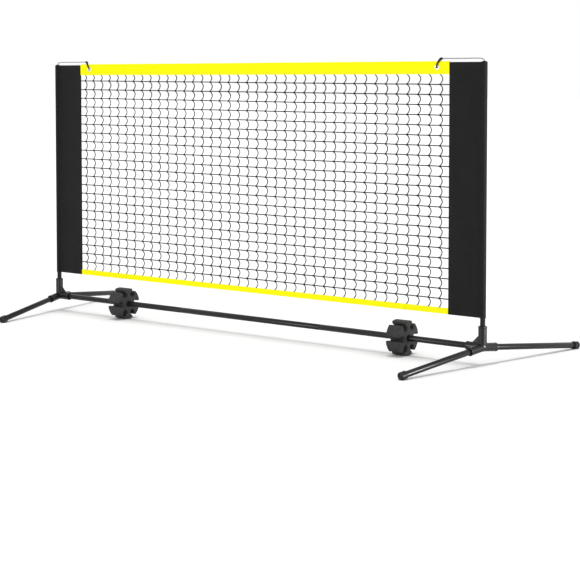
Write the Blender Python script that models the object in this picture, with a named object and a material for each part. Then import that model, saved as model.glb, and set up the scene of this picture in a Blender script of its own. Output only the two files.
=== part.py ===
"""Portable pickleball net: plug-in steel base on four legs and two support wheels, two posts, net with sleeves."""

import math

import bmesh
import bpy
from mathutils import Matrix, Vector
from mathutils.geometry import tessellate_polygon

# Overall layout, metres
HALF_SPAN = 0.915
BAR_HEIGHT = 0.0555
SLEEVE_TOP = 0.914
SLEEVE_BOTTOM = 0.1435
FIT_GAP = 0.0003

# Steel tubes
BAR_RADIUS = 0.0095
BAR_WALL = 0.0012
POST_RADIUS = 0.0080
POST_WALL = 0.0012
SPLICE_X = 0.305
SPLICE_Z = 0.4850
SPLICE_HALF_LENGTH = 0.040
TUBE_SEGMENTS = 28

# Corner hubs
SOCKET_RADIUS = 0.0132
SOCKET_LIP = 0.0006
POST_SOCKET_LENGTH = 0.064
LEG_SOCKET_LENGTH = 0.060
BAR_SOCKET_LENGTH = 0.055
SOCKET_FLOOR = 0.0165
POST_SOCKET_FLOOR = 0.0140
GUSSET_REACH = 0.036
GUSSET_THICKNESS = 0.0050

# Legs and their caps
LEG_REACH = {-1: 0.345, 1: 0.445}
LEG_TOE = math.radians(11.0)
LEG_TIP_HEIGHT = 0.0105
FOOTPRINT_SHIFT = -0.0500
CAP_RADIUS = 0.0125
CAP_LENGTH = 0.0230
CAP_END_WALL = 0.0034

# Support wheels
WHEEL_X = {-1: -0.582, 1: 0.624}
WHEEL_RADIUS = 0.0552
WHEEL_HALF_WIDTH = 0.0260
WHEEL_BORE = 0.0098
CLIP_COUNT = 6
CLIP_CENTRE = 0.0360
CLIP_RADIUS = 0.0100
CLIP_MOUTH = 0.0065
LOBE_CORNER = 0.0035

# Net, tapes and sleeves
SLEEVE_INNER = 0.1214
SLEEVE_WRAP = 0.0099
CLOTH_HALF = 0.0018
SLOT_HALF = 0.0010
NET_HALF = 0.0007
SLOT_DEPTH = 0.0124
TOP_TAPE_TOP = 0.9170
TOP_TAPE_BOTTOM = 0.8768
TOP_SLOT = 0.0103
LOW_TAPE_TOP = 0.1625
LOW_SLOT = 0.0083

# Tension cords, hooks and grommets
GROMMET_INSET = 0.166
GROMMET_HEIGHT = 0.8986
GROMMET_RADIUS = 0.0084
GROMMET_HOLE = 0.0042
CORD_HEIGHT = 0.9250
CORD_RADIUS = 0.0015
HOOK_RADIUS = 0.0017
HOOK_COLLAR = 0.0030
POST_TOP = 0.9060

for item in list(bpy.data.objects):
    bpy.data.objects.remove(item)


def linear(code):
    channels = []
    for start in (0, 2, 4):
        value = int(code[start:start + 2], 16) / 255
        if value <= 0.04045:
            channels.append(value / 12.92)
        else:
            channels.append(((value + 0.055) / 1.055) ** 2.4)
    return (channels[0], channels[1], channels[2], 1.0)


def make_material(name, code, roughness, metallic):
    material = bpy.data.materials.new(name)
    material.use_nodes = True
    shader = material.node_tree.nodes["Principled BSDF"]
    shader.inputs["Base Color"].default_value = linear(code)
    shader.inputs["Roughness"].default_value = roughness
    shader.inputs["Metallic"].default_value = metallic
    material.diffuse_color = linear(code)
    return material


FINISHES = {
    "tube": ("3A3B3D", 0.38, 0.35),
    "moulded": ("383838", 0.48, 0.0),
    "cap": ("1E1E1F", 0.60, 0.0),
    "wheel": ("474747", 0.72, 0.0),
    "fabric": ("272727", 0.92, 0.0),
    "tape": ("FAF51C", 0.55, 0.0),
    "mesh": ("2C2C2E", 0.85, 0.0),
    "cord": ("6E6E70", 0.60, 0.0),
    "hook": ("151515", 0.45, 0.0),
    "ring": ("C9C9CB", 0.25, 1.0),
}


def finish_object(name, bm, at, finish):
    bmesh.ops.remove_doubles(bm, verts=bm.verts, dist=1e-7)
    bmesh.ops.recalc_face_normals(bm, faces=bm.faces)
    bmesh.ops.translate(bm, verts=bm.verts, vec=-Vector(at))
    mesh = bpy.data.meshes.new(name)
    bm.to_mesh(mesh)
    bm.free()
    thing = bpy.data.objects.new(name, mesh)
    thing.location = at
    bpy.context.scene.collection.objects.link(thing)
    code, roughness, metallic = FINISHES[finish]
    mesh.materials.append(make_material(name + "_finish", code, roughness, metallic))
    return thing


def turned_matrix(origin, direction):
    turn = Vector((0, 0, 1)).rotation_difference(Vector(direction).normalized())
    return Matrix.Translation(Vector(origin)) @ turn.to_matrix().to_4x4()


def bridge_loops(bm, first, second):
    count = len(first)
    for k in range(count):
        after = (k + 1) % count
        bm.faces.new((first[k], first[after], second[after], second[k]))


def lathe_mesh(profile, origin, direction, closed, segments=TUBE_SEGMENTS):
    """Turns (distance along, radius) points about an axis. A closed profile gives a hollow ring, an open one is capped."""
    bm = bmesh.new()
    place = turned_matrix(origin, direction)
    rings = []
    for along, radius in profile:
        ring = []
        for k in range(segments):
            angle = 2 * math.pi * (k + 0.5) / segments
            point = Vector((radius * math.cos(angle), radius * math.sin(angle), along))
            ring.append(bm.verts.new(place @ point))
        rings.append(ring)
    for k in range(len(rings) - 1):
        bridge_loops(bm, rings[k], rings[k + 1])
    if closed:
        bridge_loops(bm, rings[-1], rings[0])
    else:
        bm.faces.new(rings[0])
        bm.faces.new(rings[-1])
    return bm


def tube_profile(start, end, outer, inner):
    return [(start, outer), (end, outer), (end, inner), (start, inner)]


def stack_mesh(layers, place):
    """Joins layers of matching loops. Each layer is (height, outer loop, list of hole loops), loops as 2-D points."""
    bm = bmesh.new()
    made = []
    for height, outer, holes in layers:
        loops = []
        for loop in [outer] + holes:
            loops.append([bm.verts.new(place @ Vector((p[0], p[1], height))) for p in loop])
        made.append(loops)
    for lower, upper in zip(made, made[1:]):
        for first, second in zip(lower, upper):
            bridge_loops(bm, first, second)
    for layer, loops in ((layers[0], made[0]), (layers[-1], made[-1])):
        flat = []
        for loop in [layer[1]] + layer[2]:
            flat.append([Vector((p[0], p[1], 0)) for p in loop])
        verts = [vert for loop in loops for vert in loop]
        for corners in tessellate_polygon(flat):
            bm.faces.new([verts[index] for index in corners])
    return bm


def smooth_path(points, steps):
    """Points along a Catmull-Rom curve through the given ones, each (x, y, z, radius)."""
    knots = [Vector(p) for p in points]
    knots = [2 * knots[0] - knots[1]] + knots + [2 * knots[-1] - knots[-2]]
    result = []
    for k in range(1, len(knots) - 2):
        a, b, c, d = knots[k - 1:k + 3]
        for step in range(steps):
            t = step / steps
            value = 2 * b + (c - a) * t + (2 * a - 5 * b + 4 * c - d) * t * t
            value += (3 * b - a - 3 * c + d) * t * t * t
            result.append(value / 2)
    result.append(knots[-2])
    return result


def sweep_mesh(path, segments):
    """Round bar along a path of (x, y, z, radius) points, with flat ends."""
    bm = bmesh.new()
    spots = [Vector(p[:3]) for p in path]
    side = None
    rings = []
    for k, spot in enumerate(spots):
        ahead = (spots[min(k + 1, len(spots) - 1)] - spots[max(k - 1, 0)]).normalized()
        if side is None:
            side = ahead.orthogonal().normalized()
        side = (side - ahead * side.dot(ahead)).normalized()
        other = ahead.cross(side)
        ring = []
        for j in range(segments):
            angle = 2 * math.pi * j / segments
            offset = side * math.cos(angle) + other * math.sin(angle)
            ring.append(bm.verts.new(spot + offset * path[k][3]))
        rings.append(ring)
    for k in range(len(rings) - 1):
        bridge_loops(bm, rings[k], rings[k + 1])
    bm.faces.new(rings[0])
    bm.faces.new(rings[-1])
    return bm


def combine(target, tools, operation):
    """Applies one exact Boolean per tool and removes the tools."""
    for tool in tools:
        modifier = target.modifiers.new("join", "BOOLEAN")
        modifier.solver = "EXACT"
        modifier.operation = operation
        modifier.object = tool
    bpy.context.view_layer.update()
    graph = bpy.context.evaluated_depsgraph_get()
    result = bpy.data.meshes.new_from_object(target.evaluated_get(graph))
    target.modifiers.clear()
    target.data = result
    for tool in tools:
        bpy.data.objects.remove(tool)


def tidy_mesh(thing, distance):
    bm = bmesh.new()
    bm.from_mesh(thing.data)
    bmesh.ops.remove_doubles(bm, verts=bm.verts, dist=distance)
    bmesh.ops.dissolve_degenerate(bm, edges=bm.edges, dist=distance)
    bmesh.ops.recalc_face_normals(bm, faces=bm.faces)
    bm.to_mesh(thing.data)
    bm.free()


def hub_centre(side):
    return Vector((side * HALF_SPAN, 0, BAR_HEIGHT))


def leg_tip(side, fore):
    """fore is -1 for the front legs and +1 for the rear ones. Front tips toe in and rear tips toe out."""
    reach = LEG_REACH[fore]
    across = side * HALF_SPAN + side * fore * reach * math.tan(LEG_TOE)
    return Vector((across, fore * reach, LEG_TIP_HEIGHT))


def leg_direction(side, fore):
    return (leg_tip(side, fore) - hub_centre(side)).normalized()


def leg_length(side, fore):
    return (leg_tip(side, fore) - hub_centre(side)).length


def socket_profile(length):
    radius = SOCKET_RADIUS
    lip = radius + SOCKET_LIP
    return [
        (0.0, radius - 0.0004),
        (0.0012, radius),
        (length - 0.0048, radius),
        (length - 0.0042, lip),
        (length - 0.0008, lip),
        (length, lip - 0.0008),
    ]


def build_hub(name, side):
    """Moulded corner: an upright socket, two leg sockets, one crossbar socket and a web, all bored blind."""
    centre = hub_centre(side)
    inward = Vector((-side, 0, 0))
    upright = Vector((0, 0, 1))
    ball = bmesh.new()
    bmesh.ops.create_uvsphere(ball, u_segments=24, v_segments=12, radius=SOCKET_RADIUS + 0.0007)
    bmesh.ops.translate(ball, verts=ball.verts, vec=centre)
    hub = finish_object(name, ball, centre, "moulded")
    parts = []
    sockets = [(upright, POST_SOCKET_LENGTH), (inward, BAR_SOCKET_LENGTH)]
    sockets.append((leg_direction(side, -1), LEG_SOCKET_LENGTH))
    sockets.append((leg_direction(side, 1), LEG_SOCKET_LENGTH))
    for axis, length in sockets:
        parts.append(finish_object("socket", lathe_mesh(socket_profile(length), centre, axis, False), centre, "moulded"))
    reach = GUSSET_REACH
    web = [(0.003, 0.003), (reach, 0.003), (reach, 0.0116), (0.0121, reach), (0.003, reach)]
    place = Matrix.Translation(centre) @ Matrix(((-side, 0, 0, 0), (0, 0, 1, 0), (0, 1, 0, 0), (0, 0, 0, 1)))
    half = GUSSET_THICKNESS / 2
    parts.append(finish_object("web", stack_mesh([(-half, web, []), (half, web, [])], place), centre, "moulded"))
    combine(hub, parts, "UNION")
    cutters = []
    bores = [(upright, POST_SOCKET_FLOOR, POST_SOCKET_LENGTH, POST_RADIUS)]
    bores.append((inward, SOCKET_FLOOR, BAR_SOCKET_LENGTH, BAR_RADIUS))
    bores.append((leg_direction(side, -1), SOCKET_FLOOR, LEG_SOCKET_LENGTH, BAR_RADIUS))
    bores.append((leg_direction(side, 1), SOCKET_FLOOR, LEG_SOCKET_LENGTH, BAR_RADIUS))
    for axis, floor, length, radius in bores:
        bore = radius + FIT_GAP
        profile = [(floor, bore), (length - 0.0010, bore), (length + 0.0020, bore + 0.0030)]
        cutters.append(finish_object("bore", lathe_mesh(profile, centre, axis, False), centre, "moulded"))
    combine(hub, cutters, "DIFFERENCE")
    tidy_mesh(hub, 2e-6)
    return hub


def build_leg(name, side, fore):
    """Steel tube from inside the socket to inside the end cap."""
    length = leg_length(side, fore)
    profile = tube_profile(SOCKET_FLOOR + 0.0005, length - CAP_END_WALL - FIT_GAP, BAR_RADIUS, BAR_RADIUS - BAR_WALL)
    centre = hub_centre(side)
    finish_object(name, lathe_mesh(profile, centre, leg_direction(side, fore), True), centre, "tube")


def build_leg_cap(name, side, fore):
    """Slip-on cap whose underside is flat where it stands."""
    length = leg_length(side, fore)
    start = length - CAP_LENGTH
    inner = BAR_RADIUS + FIT_GAP
    profile = [
        (length - CAP_END_WALL, inner),
        (start, inner),
        (start, CAP_RADIUS - 0.0010),
        (start + 0.0010, CAP_RADIUS),
        (length - 0.0030, CAP_RADIUS),
        (length - 0.0014, CAP_RADIUS - 0.0006),
        (length - 0.0004, CAP_RADIUS - 0.0018),
        (length, CAP_RADIUS - 0.0034),
    ]
    centre = hub_centre(side)
    bm = lathe_mesh(profile, centre, leg_direction(side, fore), False)
    geometry = bm.verts[:] + bm.edges[:] + bm.faces[:]
    cut = bmesh.ops.bisect_plane(bm, geom=geometry, dist=1e-7, plane_co=(0, 0, 0), plane_no=(0, 0, -1), clear_outer=True)
    rim = [edge for edge in cut["geom_cut"] if isinstance(edge, bmesh.types.BMEdge)]
    bmesh.ops.contextual_create(bm, geom=rim)
    finish_object(name, bm, centre, "cap")


def clip_sector(turn):
    """Outline of one clip slot and the rim that follows it, turning anticlockwise."""
    points = []
    rise = math.sqrt((WHEEL_RADIUS - LOBE_CORNER) ** 2 - (CLIP_MOUTH + LOBE_CORNER) ** 2)
    lean = math.atan2(CLIP_MOUTH + LOBE_CORNER, rise)
    throat = math.asin(CLIP_MOUTH / CLIP_RADIUS)
    for k in range(4):
        angle = -lean + (math.pi / 2 + lean) * k / 3
        across = -(CLIP_MOUTH + LOBE_CORNER) + LOBE_CORNER * math.sin(angle)
        points.append((rise + LOBE_CORNER * math.cos(angle), across))
    for k in range(15):
        angle = -throat - (2 * math.pi - 2 * throat) * k / 14
        points.append((CLIP_CENTRE + CLIP_RADIUS * math.cos(angle), CLIP_RADIUS * math.sin(angle)))
    for k in range(4):
        angle = -math.pi / 2 + (math.pi / 2 + lean) * k / 3
        across = CLIP_MOUTH + LOBE_CORNER + LOBE_CORNER * math.sin(angle)
        points.append((rise + LOBE_CORNER * math.cos(angle), across))
    for k in range(1, 6):
        angle = lean + (2 * math.pi / CLIP_COUNT - 2 * lean) * k / 6
        points.append((WHEEL_RADIUS * math.cos(angle), WHEEL_RADIUS * math.sin(angle)))
    c, s = math.cos(turn), math.sin(turn)
    return [(c * u - s * v, s * u + c * v) for u, v in points]


def shrink_loop(loop, distance):
    """Moves each corner of an anticlockwise loop into its material."""
    moved = []
    count = len(loop)
    for k in range(count):
        here = Vector(loop[k])
        before = (here - Vector(loop[k - 1])).normalized()
        after = (Vector(loop[(k + 1) % count]) - here).normalized()
        normal = Vector((-before.y - after.y, before.x + after.x))
        normal = normal / max(1.2, normal.length_squared / 2)
        moved.append(tuple(here + normal * distance))
    return moved


def build_wheel(name, x):
    """Six-lobed support wheel that also clips the tubes for storage. It turns on the crossbar."""
    outline = []
    for k in range(CLIP_COUNT):
        outline += clip_sector(2 * math.pi * k / CLIP_COUNT)
    layers = []
    half = WHEEL_HALF_WIDTH
    edges = [(-half, 0.0018, 0.0008), (-half + 0.0018, 0.0, 0.0)]
    edges += [(half - 0.0018, 0.0, 0.0), (half, 0.0018, 0.0008)]
    for height, inset, flare in edges:
        bore = []
        for k in range(TUBE_SEGMENTS):
            angle = 2 * math.pi * k / TUBE_SEGMENTS
            bore.append(((WHEEL_BORE + flare) * math.cos(angle), (WHEEL_BORE + flare) * math.sin(angle)))
        loop = shrink_loop(outline, inset) if inset else outline
        layers.append((height, loop, [bore]))
    centre = Vector((x, 0, BAR_HEIGHT))
    place = Matrix.Translation(centre) @ Matrix(((0, 0, 1, 0), (1, 0, 0, 0), (0, 1, 0, 0), (0, 0, 0, 1)))
    finish_object(name, stack_mesh(layers, place), centre, "wheel")


def build_bar(name, start, end, radius, wall):
    """Level steel tube along X."""
    profile = tube_profile(start, end, radius, radius - wall)
    at = ((start + end) / 2, 0, BAR_HEIGHT)
    finish_object(name, lathe_mesh(profile, (0, 0, BAR_HEIGHT), (1, 0, 0), True), at, "tube")


def build_post(name, side, start, end, radius, wall):
    """Upright steel tube on the hub's axis."""
    profile = tube_profile(start, end, radius, radius - wall)
    at = (side * HALF_SPAN, 0, start)
    finish_object(name, lathe_mesh(profile, (side * HALF_SPAN, 0, 0), (0, 0, 1), True), at, "tube")


def build_post_cap(name, side):
    """Plug in the top of the post, with a blind hole that holds the tension cord."""
    plug = POST_RADIUS - POST_WALL - FIT_GAP
    seat = POST_TOP + FIT_GAP
    hole = CORD_RADIUS + FIT_GAP
    profile = [
        (seat + 0.0020, hole),
        (seat + 0.0103, hole),
        (seat + 0.0103, POST_RADIUS - 0.0034),
        (seat + 0.0095, POST_RADIUS - 0.0012),
        (seat + 0.0075, POST_RADIUS),
        (seat, POST_RADIUS),
        (seat, plug),
        (seat - 0.0130, plug),
        (seat - 0.0140, plug - 0.0008),
    ]
    at = (side * HALF_SPAN, 0, POST_TOP)
    finish_object(name, lathe_mesh(profile, (side * HALF_SPAN, 0, 0), (0, 0, 1), False), at, "cap")


def build_sleeve(name, side):
    """Fabric sleeve: a snug tube round the post and a flat panel that takes the net's end in its inner edge."""
    wrap = []
    for k in range(25):
        angle = math.radians(20 + 320 * k / 24)
        wrap.append((SLEEVE_WRAP * math.cos(angle), SLEEVE_WRAP * math.sin(angle)))
    lower = [(0.0112, -0.0024), (0.0135, -0.0019), (0.0175, -CLOTH_HALF), (SLEEVE_INNER, -CLOTH_HALF)]
    slot = [(SLEEVE_INNER, -SLOT_HALF), (SLEEVE_INNER - SLOT_DEPTH, -SLOT_HALF)]
    slot += [(SLEEVE_INNER - SLOT_DEPTH, SLOT_HALF), (SLEEVE_INNER, SLOT_HALF)]
    upper = [(u, -v) for u, v in reversed(lower)]
    outline = wrap + lower + slot + upper
    bore = []
    for k in range(TUBE_SEGMENTS):
        angle = 2 * math.pi * (k + 0.5) / TUBE_SEGMENTS
        reach = POST_RADIUS + FIT_GAP
        bore.append((reach * math.cos(angle), reach * math.sin(angle)))
    place = Matrix.Translation((side * HALF_SPAN, 0, 0)) @ Matrix.Diagonal((-side, 1, 1, 1))
    layers = [(SLEEVE_BOTTOM, outline, [bore]), (SLEEVE_TOP, outline, [bore])]
    finish_object(name, stack_mesh(layers, place), (side * HALF_SPAN, 0, SLEEVE_BOTTOM), "fabric")


def build_tape(name, low, high, slot_depth, slot_below):
    """Folded binding along one edge of the net, slotted for the mesh."""
    half = HALF_SPAN - SLEEVE_INNER - FIT_GAP
    if slot_below:
        bottom = [(-CLOTH_HALF, low), (-SLOT_HALF, low), (-SLOT_HALF, low + slot_depth)]
        bottom += [(SLOT_HALF, low + slot_depth), (SLOT_HALF, low), (CLOTH_HALF, low)]
        outline = bottom + [(CLOTH_HALF, high), (-CLOTH_HALF, high)]
    else:
        top = [(CLOTH_HALF, high), (SLOT_HALF, high), (SLOT_HALF, high - slot_depth)]
        top += [(-SLOT_HALF, high - slot_depth), (-SLOT_HALF, high), (-CLOTH_HALF, high)]
        outline = [(-CLOTH_HALF, low), (CLOTH_HALF, low)] + top
    place = Matrix(((0, 0, 1, 0), (1, 0, 0, 0), (0, 1, 0, 0), (0, 0, 0, 1)))
    layers = [(-half, outline, []), (half, outline, [])]
    return finish_object(name, stack_mesh(layers, place), (0, 0, low), "tape")


def build_net(name):
    """The mesh as one thin sheet that fills the slots of the tapes and sleeves."""
    half = HALF_SPAN - SLEEVE_INNER + SLOT_DEPTH - FIT_GAP
    low = LOW_TAPE_TOP - LOW_SLOT + FIT_GAP
    high = TOP_TAPE_BOTTOM + TOP_SLOT - FIT_GAP
    bm = bmesh.new()
    bmesh.ops.create_cube(bm, size=1.0)
    bmesh.ops.scale(bm, verts=bm.verts, vec=(2 * half, 2 * NET_HALF, high - low))
    bmesh.ops.translate(bm, verts=bm.verts, vec=(0, 0, (low + high) / 2))
    finish_object(name, bm, (0, 0, low), "mesh")


def grommet_centre(side):
    return Vector((side * (HALF_SPAN - GROMMET_INSET), 0, GROMMET_HEIGHT))


def build_grommets(front_name, back_name, side):
    """Two pressed rings: the front one has the barrel, the back one is a washer round it."""
    centre = grommet_centre(side)
    face = CLOTH_HALF + FIT_GAP
    barrel = GROMMET_HOLE + 0.0008
    front = [
        (-face - 0.0008, GROMMET_HOLE),
        (-face - 0.0012, barrel),
        (-face - 0.0011, GROMMET_RADIUS - 0.0012),
        (-face - 0.0006, GROMMET_RADIUS),
        (-face, GROMMET_RADIUS),
        (-face, barrel),
        (face + 0.0013, barrel),
        (face + 0.0013, GROMMET_HOLE),
    ]
    finish_object(front_name, lathe_mesh(front, centre, (0, 1, 0), True, 24), centre, "ring")
    back = tube_profile(face, face + 0.0010, GROMMET_RADIUS, barrel + FIT_GAP)
    finish_object(back_name, lathe_mesh(back, centre, (0, 1, 0), True, 24), centre, "ring")


def build_cord(name, side):
    """Tension cord out of the post cap and along above the sleeve to the hook."""
    post = HALF_SPAN
    stop = GROMMET_INSET - 0.0200 - FIT_GAP
    spots = [(0.0, 0.9090), (0.0, 0.9130), (0.0, 0.9174), (0.0030, 0.9216), (0.0120, 0.9242), (0.0280, CORD_HEIGHT)]
    spots += [(0.0600, CORD_HEIGHT), (0.1000, CORD_HEIGHT), (stop - 0.0100, CORD_HEIGHT), (stop, CORD_HEIGHT)]
    points = [(side * (post - reach), 0, height, CORD_RADIUS) for reach, height in spots]
    bm = sweep_mesh(smooth_path(points, 2), 10)
    finish_object(name, bm, (side * post, 0, POST_TOP), "cord")


def build_hook(name, side):
    """Moulded hook: a collar on the cord, then a bend down and through the grommet."""
    centre = grommet_centre(side)
    rise = CORD_HEIGHT - GROMMET_HEIGHT
    collar = [
        (0.0200, 0.0, rise, HOOK_COLLAR - 0.0006),
        (0.0194, 0.0, rise, HOOK_COLLAR),
        (0.0126, 0.0, rise, HOOK_COLLAR),
        (0.0120, 0.0, rise, HOOK_COLLAR - 0.0005),
    ]
    bend = [
        (0.0116, 0.0, rise, HOOK_RADIUS),
        (0.0078, -0.0008, rise - 0.0002, HOOK_RADIUS),
        (0.0036, -0.0030, rise - 0.0022, HOOK_RADIUS),
        (0.0008, -0.0054, rise - 0.0074, HOOK_RADIUS),
        (0.0, -0.0064, 0.0120, HOOK_RADIUS),
        (0.0, -0.0060, 0.0050, HOOK_RADIUS),
        (0.0, -0.0038, 0.0000, HOOK_RADIUS),
        (0.0, 0.0004, -0.0014, HOOK_RADIUS),
        (0.0, 0.0046, 0.0000, HOOK_RADIUS),
        (0.0, 0.0068, 0.0044, HOOK_RADIUS),
    ]
    tip = [(0.0, 0.0071, 0.0056, HOOK_RADIUS - 0.0004), (0.0, 0.0072, 0.0063, HOOK_RADIUS - 0.0011)]
    path = collar + [tuple(point) for point in smooth_path(bend, 3)] + tip
    points = [(centre.x + side * s[0], s[1], centre.z + s[2], s[3]) for s in path]
    finish_object(name, sweep_mesh(points, 10), centre, "hook")


# Base
for side, word in ((-1, "left"), (1, "right")):
    build_hub("hub_" + word, side)
    for fore, place_word in ((-1, "front"), (1, "rear")):
        build_leg("leg_" + place_word + "_" + word, side, fore)
        build_leg_cap("leg_cap_" + place_word + "_" + word, side, fore)

bar_end = HALF_SPAN - SOCKET_FLOOR - 0.0005
bar_joint = SPLICE_X + FIT_GAP / 2
bar_sleeve = BAR_RADIUS - BAR_WALL - FIT_GAP
build_bar("crossbar_left", -bar_end, -bar_joint, BAR_RADIUS, BAR_WALL)
build_bar("crossbar_middle", -SPLICE_X + FIT_GAP / 2, SPLICE_X - FIT_GAP / 2, BAR_RADIUS, BAR_WALL)
build_bar("crossbar_right", bar_joint, bar_end, BAR_RADIUS, BAR_WALL)
for side, word in ((-1, "left"), (1, "right")):
    near = side * SPLICE_X - SPLICE_HALF_LENGTH
    far = side * SPLICE_X + SPLICE_HALF_LENGTH
    build_bar("crossbar_ferrule_" + word, near, far, bar_sleeve, BAR_WALL)
    build_wheel("support_wheel_" + word, WHEEL_X[side])

# Posts
post_foot = BAR_HEIGHT + POST_SOCKET_FLOOR + 0.0005
post_sleeve = POST_RADIUS - POST_WALL - FIT_GAP
for side, word in ((-1, "left"), (1, "right")):
    build_post("post_lower_" + word, side, post_foot, SPLICE_Z - FIT_GAP / 2, POST_RADIUS, POST_WALL)
    build_post("post_upper_" + word, side, SPLICE_Z + FIT_GAP / 2, POST_TOP, POST_RADIUS, POST_WALL)
    low_end = SPLICE_Z - SPLICE_HALF_LENGTH
    high_end = SPLICE_Z + SPLICE_HALF_LENGTH
    build_post("post_ferrule_" + word, side, low_end, high_end, post_sleeve, POST_WALL)
    build_post_cap("post_cap_" + word, side)

# Net
build_net("net_mesh")
build_tape("bottom_tape", SLEEVE_BOTTOM, LOW_TAPE_TOP, LOW_SLOT, False)
top_tape = build_tape("top_tape", TOP_TAPE_BOTTOM, TOP_TAPE_TOP, TOP_SLOT, True)
punches = []
for side in (-1, 1):
    hole = tube_profile(-0.01, 0.01, GROMMET_HOLE + 0.0008 + FIT_GAP, 0)[:2]
    punches.append(finish_object("punch", lathe_mesh(hole, grommet_centre(side), (0, 1, 0), False, 24), (0, 0, 0), "tape"))
combine(top_tape, punches, "DIFFERENCE")
for side, word in ((-1, "left"), (1, "right")):
    build_sleeve("sleeve_" + word, side)
    build_grommets("grommet_front_" + word, "grommet_back_" + word, side)
    build_cord("tension_cord_" + word, side)
    build_hook("cord_hook_" + word, side)

# The rear legs reach further, so everything moves forward until the footprint is centred
for item in bpy.data.objects:
    item.location.y += FOOTPRINT_SHIFT
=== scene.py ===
import math
import random

import bmesh
import bpy
from mathutils import Matrix, Vector, noise


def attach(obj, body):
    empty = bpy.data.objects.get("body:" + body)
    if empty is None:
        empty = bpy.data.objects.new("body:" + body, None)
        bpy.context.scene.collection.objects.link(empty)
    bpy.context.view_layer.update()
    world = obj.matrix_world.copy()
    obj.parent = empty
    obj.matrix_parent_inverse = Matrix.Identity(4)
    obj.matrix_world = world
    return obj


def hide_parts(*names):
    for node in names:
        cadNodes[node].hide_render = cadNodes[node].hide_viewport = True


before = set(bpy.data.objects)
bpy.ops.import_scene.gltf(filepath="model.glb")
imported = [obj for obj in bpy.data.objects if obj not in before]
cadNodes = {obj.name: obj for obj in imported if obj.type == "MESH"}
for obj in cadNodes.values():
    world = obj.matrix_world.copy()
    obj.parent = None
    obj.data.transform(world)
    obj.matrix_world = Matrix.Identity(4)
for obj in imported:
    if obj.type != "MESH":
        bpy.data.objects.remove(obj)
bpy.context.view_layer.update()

# where things stand, in metres, as the frame has them
layout = {
    "halfSpan": 0.915,
    "barHeight": 0.0555,
    "legReach": {-1: 0.345, 1: 0.445},
    "legToe": math.radians(11),
    "netPlace": -0.050,
    "legTipHeight": 0.0105,
    "sleeveInner": 0.1214,
    "sleeveTop": 0.914,
    "sleeveBottom": 0.1435,
    "topTapeTop": 0.9170,
    "topTapeBottom": 0.8768,
    "lowTapeTop": 0.1625,
    "grommetInset": 0.166,
    "grommetHeight": 0.8986,
}
sides = ((-1, "left"), (1, "right"))


# ---- materials
def linearColour(code):
    channels = [int(code[k:k + 2], 16) / 255 for k in (0, 2, 4)]
    return [c / 12.92 if c <= 0.04045 else ((c + 0.055) / 1.055) ** 2.4 for c in channels] + [1.0]


def addNode(tree, kind, settings=None, values=None, links=None):
    node = tree.nodes.new(kind)
    for key, value in (settings or {}).items():
        setattr(node, key, value)
    for key, value in (values or {}).items():
        node.inputs[key].default_value = value
    for key, source in (links or {}).items():
        tree.links.new(source, node.inputs[key])
    return node


def newMaterial(name, values):
    material = bpy.data.materials.new(name)
    material.use_nodes = True
    tree = material.node_tree
    shader = tree.nodes["Principled BSDF"]
    for key, value in values.items():
        shader.inputs[key].default_value = value
    return material, tree, shader


def colourRamp(tree, factor, low, high, stops=(0.35, 0.65)):
    ramp = addNode(tree, "ShaderNodeValToRGB", links={"Fac": factor})
    ramp.color_ramp.elements[0].position, ramp.color_ramp.elements[1].position = stops
    ramp.color_ramp.elements[0].color = linearColour(low)
    ramp.color_ramp.elements[1].color = linearColour(high)
    return ramp.outputs["Color"]


def spanRange(tree, factor, low, high):
    node = addNode(
        tree, "ShaderNodeMapRange", values={"To Min": low, "To Max": high}, links={"Value": factor}
    )
    return node.outputs["Result"]


# a Wave texture of this Scale draws one band for each unit of its vector
bandPerUnit = 0.314


# Powder-coated steel, sprayed and baked: satin black with a faint orange-peel skin and rubbed streaks.
def powderCoatedSteel(look):
    material, tree, shader = newMaterial(
        "powderCoatedSteel", {"Metallic": 0.0, "Specular IOR Level": 0.26}
    )
    place = addNode(tree, "ShaderNodeTexCoord")
    peel = addNode(
        tree,
        "ShaderNodeTexNoise",
        values={"Scale": 1 / look["peelSize"], "Detail": 2.0},
        links={"Vector": place.outputs["Object"]}
    )
    cloud = addNode(
        tree,
        "ShaderNodeTexNoise",
        values={"Scale": 1 / look["cloudSize"], "Detail": 4.0},
        links={"Vector": place.outputs["Object"]}
    )
    grit = addNode(
        tree,
        "ShaderNodeTexVoronoi",
        values={"Scale": 1 / look["gritSize"]},
        links={"Vector": place.outputs["Object"]}
    )
    base = colourRamp(tree, cloud.outputs["Fac"], look["dark"], look["light"])
    rub = addNode(
        tree,
        "ShaderNodeTexNoise",
        values={"Scale": 1 / look["rubSize"], "Detail": 6.0, "Roughness": 0.7},
        links={"Vector": place.outputs["Object"]}
    )
    rubMask = addNode(
        tree,
        "ShaderNodeMapRange",
        values={"From Min": 0.66, "From Max": 0.78, "To Max": 0.5},
        links={"Value": rub.outputs["Fac"]}
    )
    rubbed = addNode(
        tree, "ShaderNodeMix", {"data_type": "RGBA"}, links={0: rubMask.outputs["Result"], 6: base}
    )
    rubbed.inputs[7].default_value = linearColour(look["rubbed"])
    tree.links.new(rubbed.outputs[2], shader.inputs["Base Color"])
    tree.links.new(
        spanRange(tree, cloud.outputs["Fac"], look["roughness"] - 0.06, look["roughness"] + 0.08),
        shader.inputs["Roughness"]
    )
    height = addNode(
        tree,
        "ShaderNodeMath",
        {"operation": "ADD"},
        links={0: peel.outputs["Fac"], 1: grit.outputs["Distance"]}
    )
    bump = addNode(
        tree,
        "ShaderNodeBump",
        values={"Strength": 0.12, "Distance": 0.0002},
        links={"Height": height.outputs[0]}
    )
    tree.links.new(bump.outputs["Normal"], shader.inputs["Normal"])
    return material


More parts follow.
